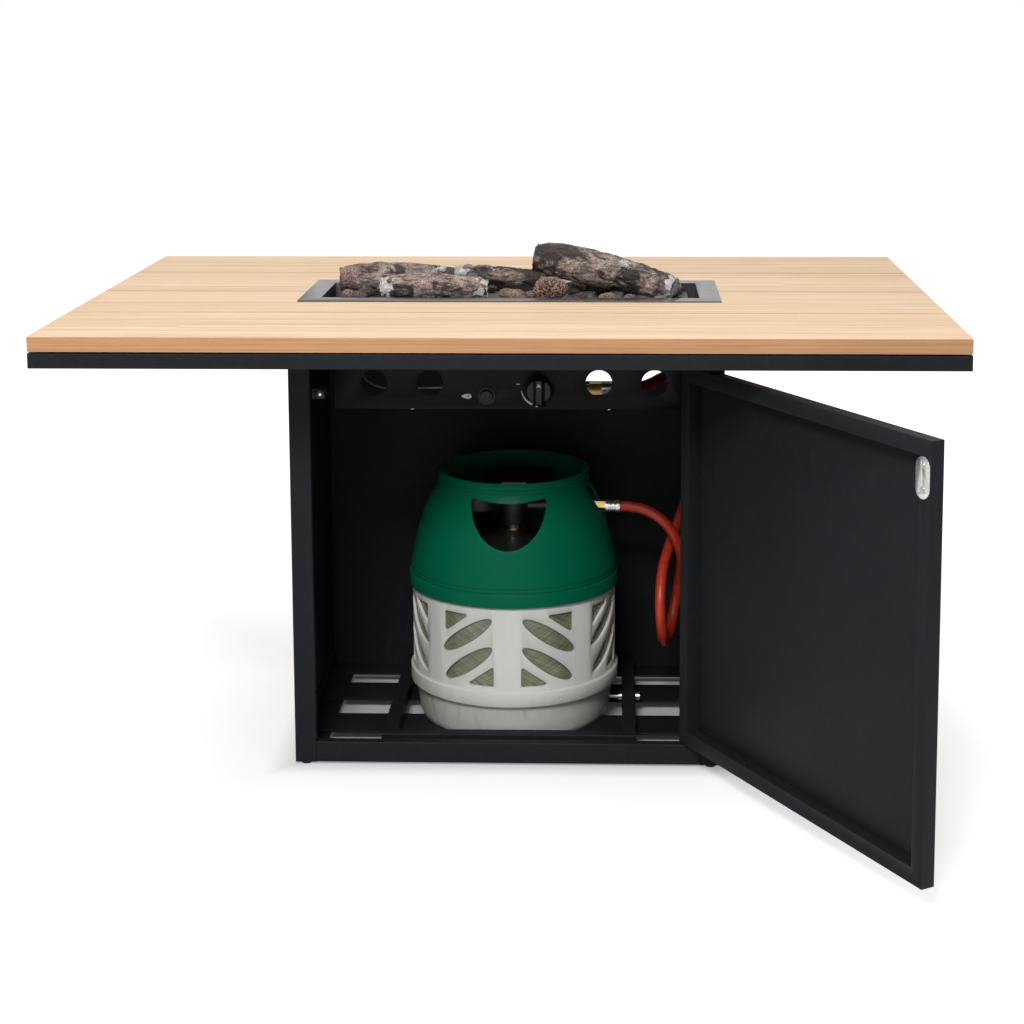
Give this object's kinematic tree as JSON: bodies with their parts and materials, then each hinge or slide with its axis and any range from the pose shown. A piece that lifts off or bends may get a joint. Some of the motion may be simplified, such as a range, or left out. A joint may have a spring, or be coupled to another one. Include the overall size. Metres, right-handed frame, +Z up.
{
  "type": "fire pit table",
  "caption": "Low rectangular gas fire table with a slatted teak top, a central burner of logs and rocks, and a steel cabinet whose hinged door stands open on a gas bottle.",
  "frame": {"origin": "middle of the cabinet's footprint on the floor", "axes": "+X along the table, to the hinge side of the door; +Y away from the door side; +Z up"},
  "size_m": [1.2, 1.0565, 0.7166],
  "materials": {
    "teak": "oiled, fine straight grain",
    "charcoal_paint": "fine matt powder coat",
    "zinc_steel": "zinc plated",
    "satin_steel": "satin",
    "black_nylon": "matt",
    "bronze": "plain",
    "black_plastic": "satin",
    "grey_paint": "satin heat resistant paint",
    "burner_steel": "heat darkened",
    "ceramic_white": "glazed ceramic",
    "black_paint": "fine matt",
    "cast_aluminium": "die cast",
    "knob_plastic": "satin",
    "button_plastic": "satin",
    "copper_pipe": "drawn",
    "cream_silicone": "smooth",
    "copper_lead": "drawn",
    "ceramic_log": "rough ceramic",
    "lava": "rough porous rock",
    "jacket_plastic": "satin",
    "composite": "wound glass fibre",
    "green_plastic": "satin",
    "brass": "turned",
    "switch_plastic": "satin",
    "red_rubber": "matt"
  },
  "bodies": {
    "cabinet": {"back_panel": "charcoal_paint", "board_screws": "zinc_steel", "bottle_locator": "zinc_steel", "bottle_ring": "charcoal_paint", "burner_pipe": "burner_steel", "burner_tray": "grey_paint", "cabinet_bolts": "zinc_steel", "control_panel": "black_paint", "cylinder_cover": "green_plastic", "cylinder_jacket": "jacket_plastic", "cylinder_valve": "brass", "cylinder_vessel": "composite", "floor_ledges": "charcoal_paint", "floor_slats": "charcoal_paint", "foot_glides": "black_nylon", "front_board": "teak", "front_bottom_rail": "charcoal_paint", "front_left_log": "ceramic_log", "front_middle_board": "teak", "front_top_rail": "charcoal_paint", "gas_hose": "red_rubber", "gas_inlet": "brass", "gas_valve": "cast_aluminium", "hinge_pins": "zinc_steel", "hose_ferrules": "satin_steel", "hose_nut": "brass", "igniter_body": "black_plastic", "ignition_lead": "cream_silicone", "lava_rocks": "lava", "left_front_post": "charcoal_paint", "left_side_panel": "charcoal_paint", "media_plate": "burner_steel", "middle_log": "ceramic_log", "panel_screws": "zinc_steel", "rear_board": "teak", "rear_left_log": "ceramic_log", "rear_middle_board": "teak", "rear_posts": "charcoal_paint", "rear_rails": "charcoal_paint", "regulator_body": "cast_aluminium", "right_front_post": "charcoal_paint", "right_log": "ceramic_log", "right_side_panel": "charcoal_paint", "spark_electrode": "ceramic_white", "supply_pipe": "copper_pipe", "thermocouple_lead": "copper_lead", "top_frame_cross_tubes": "charcoal_paint", "top_frame_long_tubes": "charcoal_paint", "touch_latch_body": "black_plastic", "valve_bracket": "zinc_steel"},
    "door": {"door_frame": "charcoal_paint", "door_skin": "charcoal_paint", "hinge_bushes": "bronze", "strike_plate": "satin_steel", "strike_screws": "zinc_steel"},
    "valve_spindle": {"valve_stem": "zinc_steel"},
    "knob": {"control_knob": "knob_plastic"},
    "igniter_key": {"igniter_button": "button_plastic"},
    "latch_pin": {"touch_latch_plunger": "satin_steel"},
    "gas_switch": {"regulator_switch": "switch_plastic"}
  },
  "joints": [
    {"name": "door_hinge", "type": "hinge", "parent": "cabinet", "child": "door", "pos_m": [0.258, -0.194, 0.303], "axis": [0, 0, -1], "range_deg": [0, 120]},
    {"name": "knob_turn", "type": "hinge", "parent": "cabinet", "child": "valve_spindle", "pos_m": [0.0414, -0.075, 0.5133], "axis": [0, -1, 0], "range_deg": [0, 180]},
    {"name": "knob_push", "type": "slide", "parent": "valve_spindle", "child": "knob", "axis": [0, 1, 0], "range_m": [0, 0.004], "stiffness_N_per_m": 1500, "springref_m": -0.002},
    {"name": "igniter_push", "type": "slide", "parent": "cabinet", "child": "igniter_key", "axis": [0, 1, 0], "range_m": [0, 0.004], "stiffness_N_per_m": 1200, "springref_m": -0.002},
    {"name": "latch_push", "type": "slide", "parent": "cabinet", "child": "latch_pin", "axis": [0, 1, 0], "range_m": [0, 0.004], "stiffness_N_per_m": 1000, "springref_m": -0.002},
    {"name": "gas_switch_turn", "type": "hinge", "parent": "cabinet", "child": "gas_switch", "pos_m": [0, 0, 0.345], "axis": [0, 0, 1], "range_deg": [0, 90]}
  ]
}
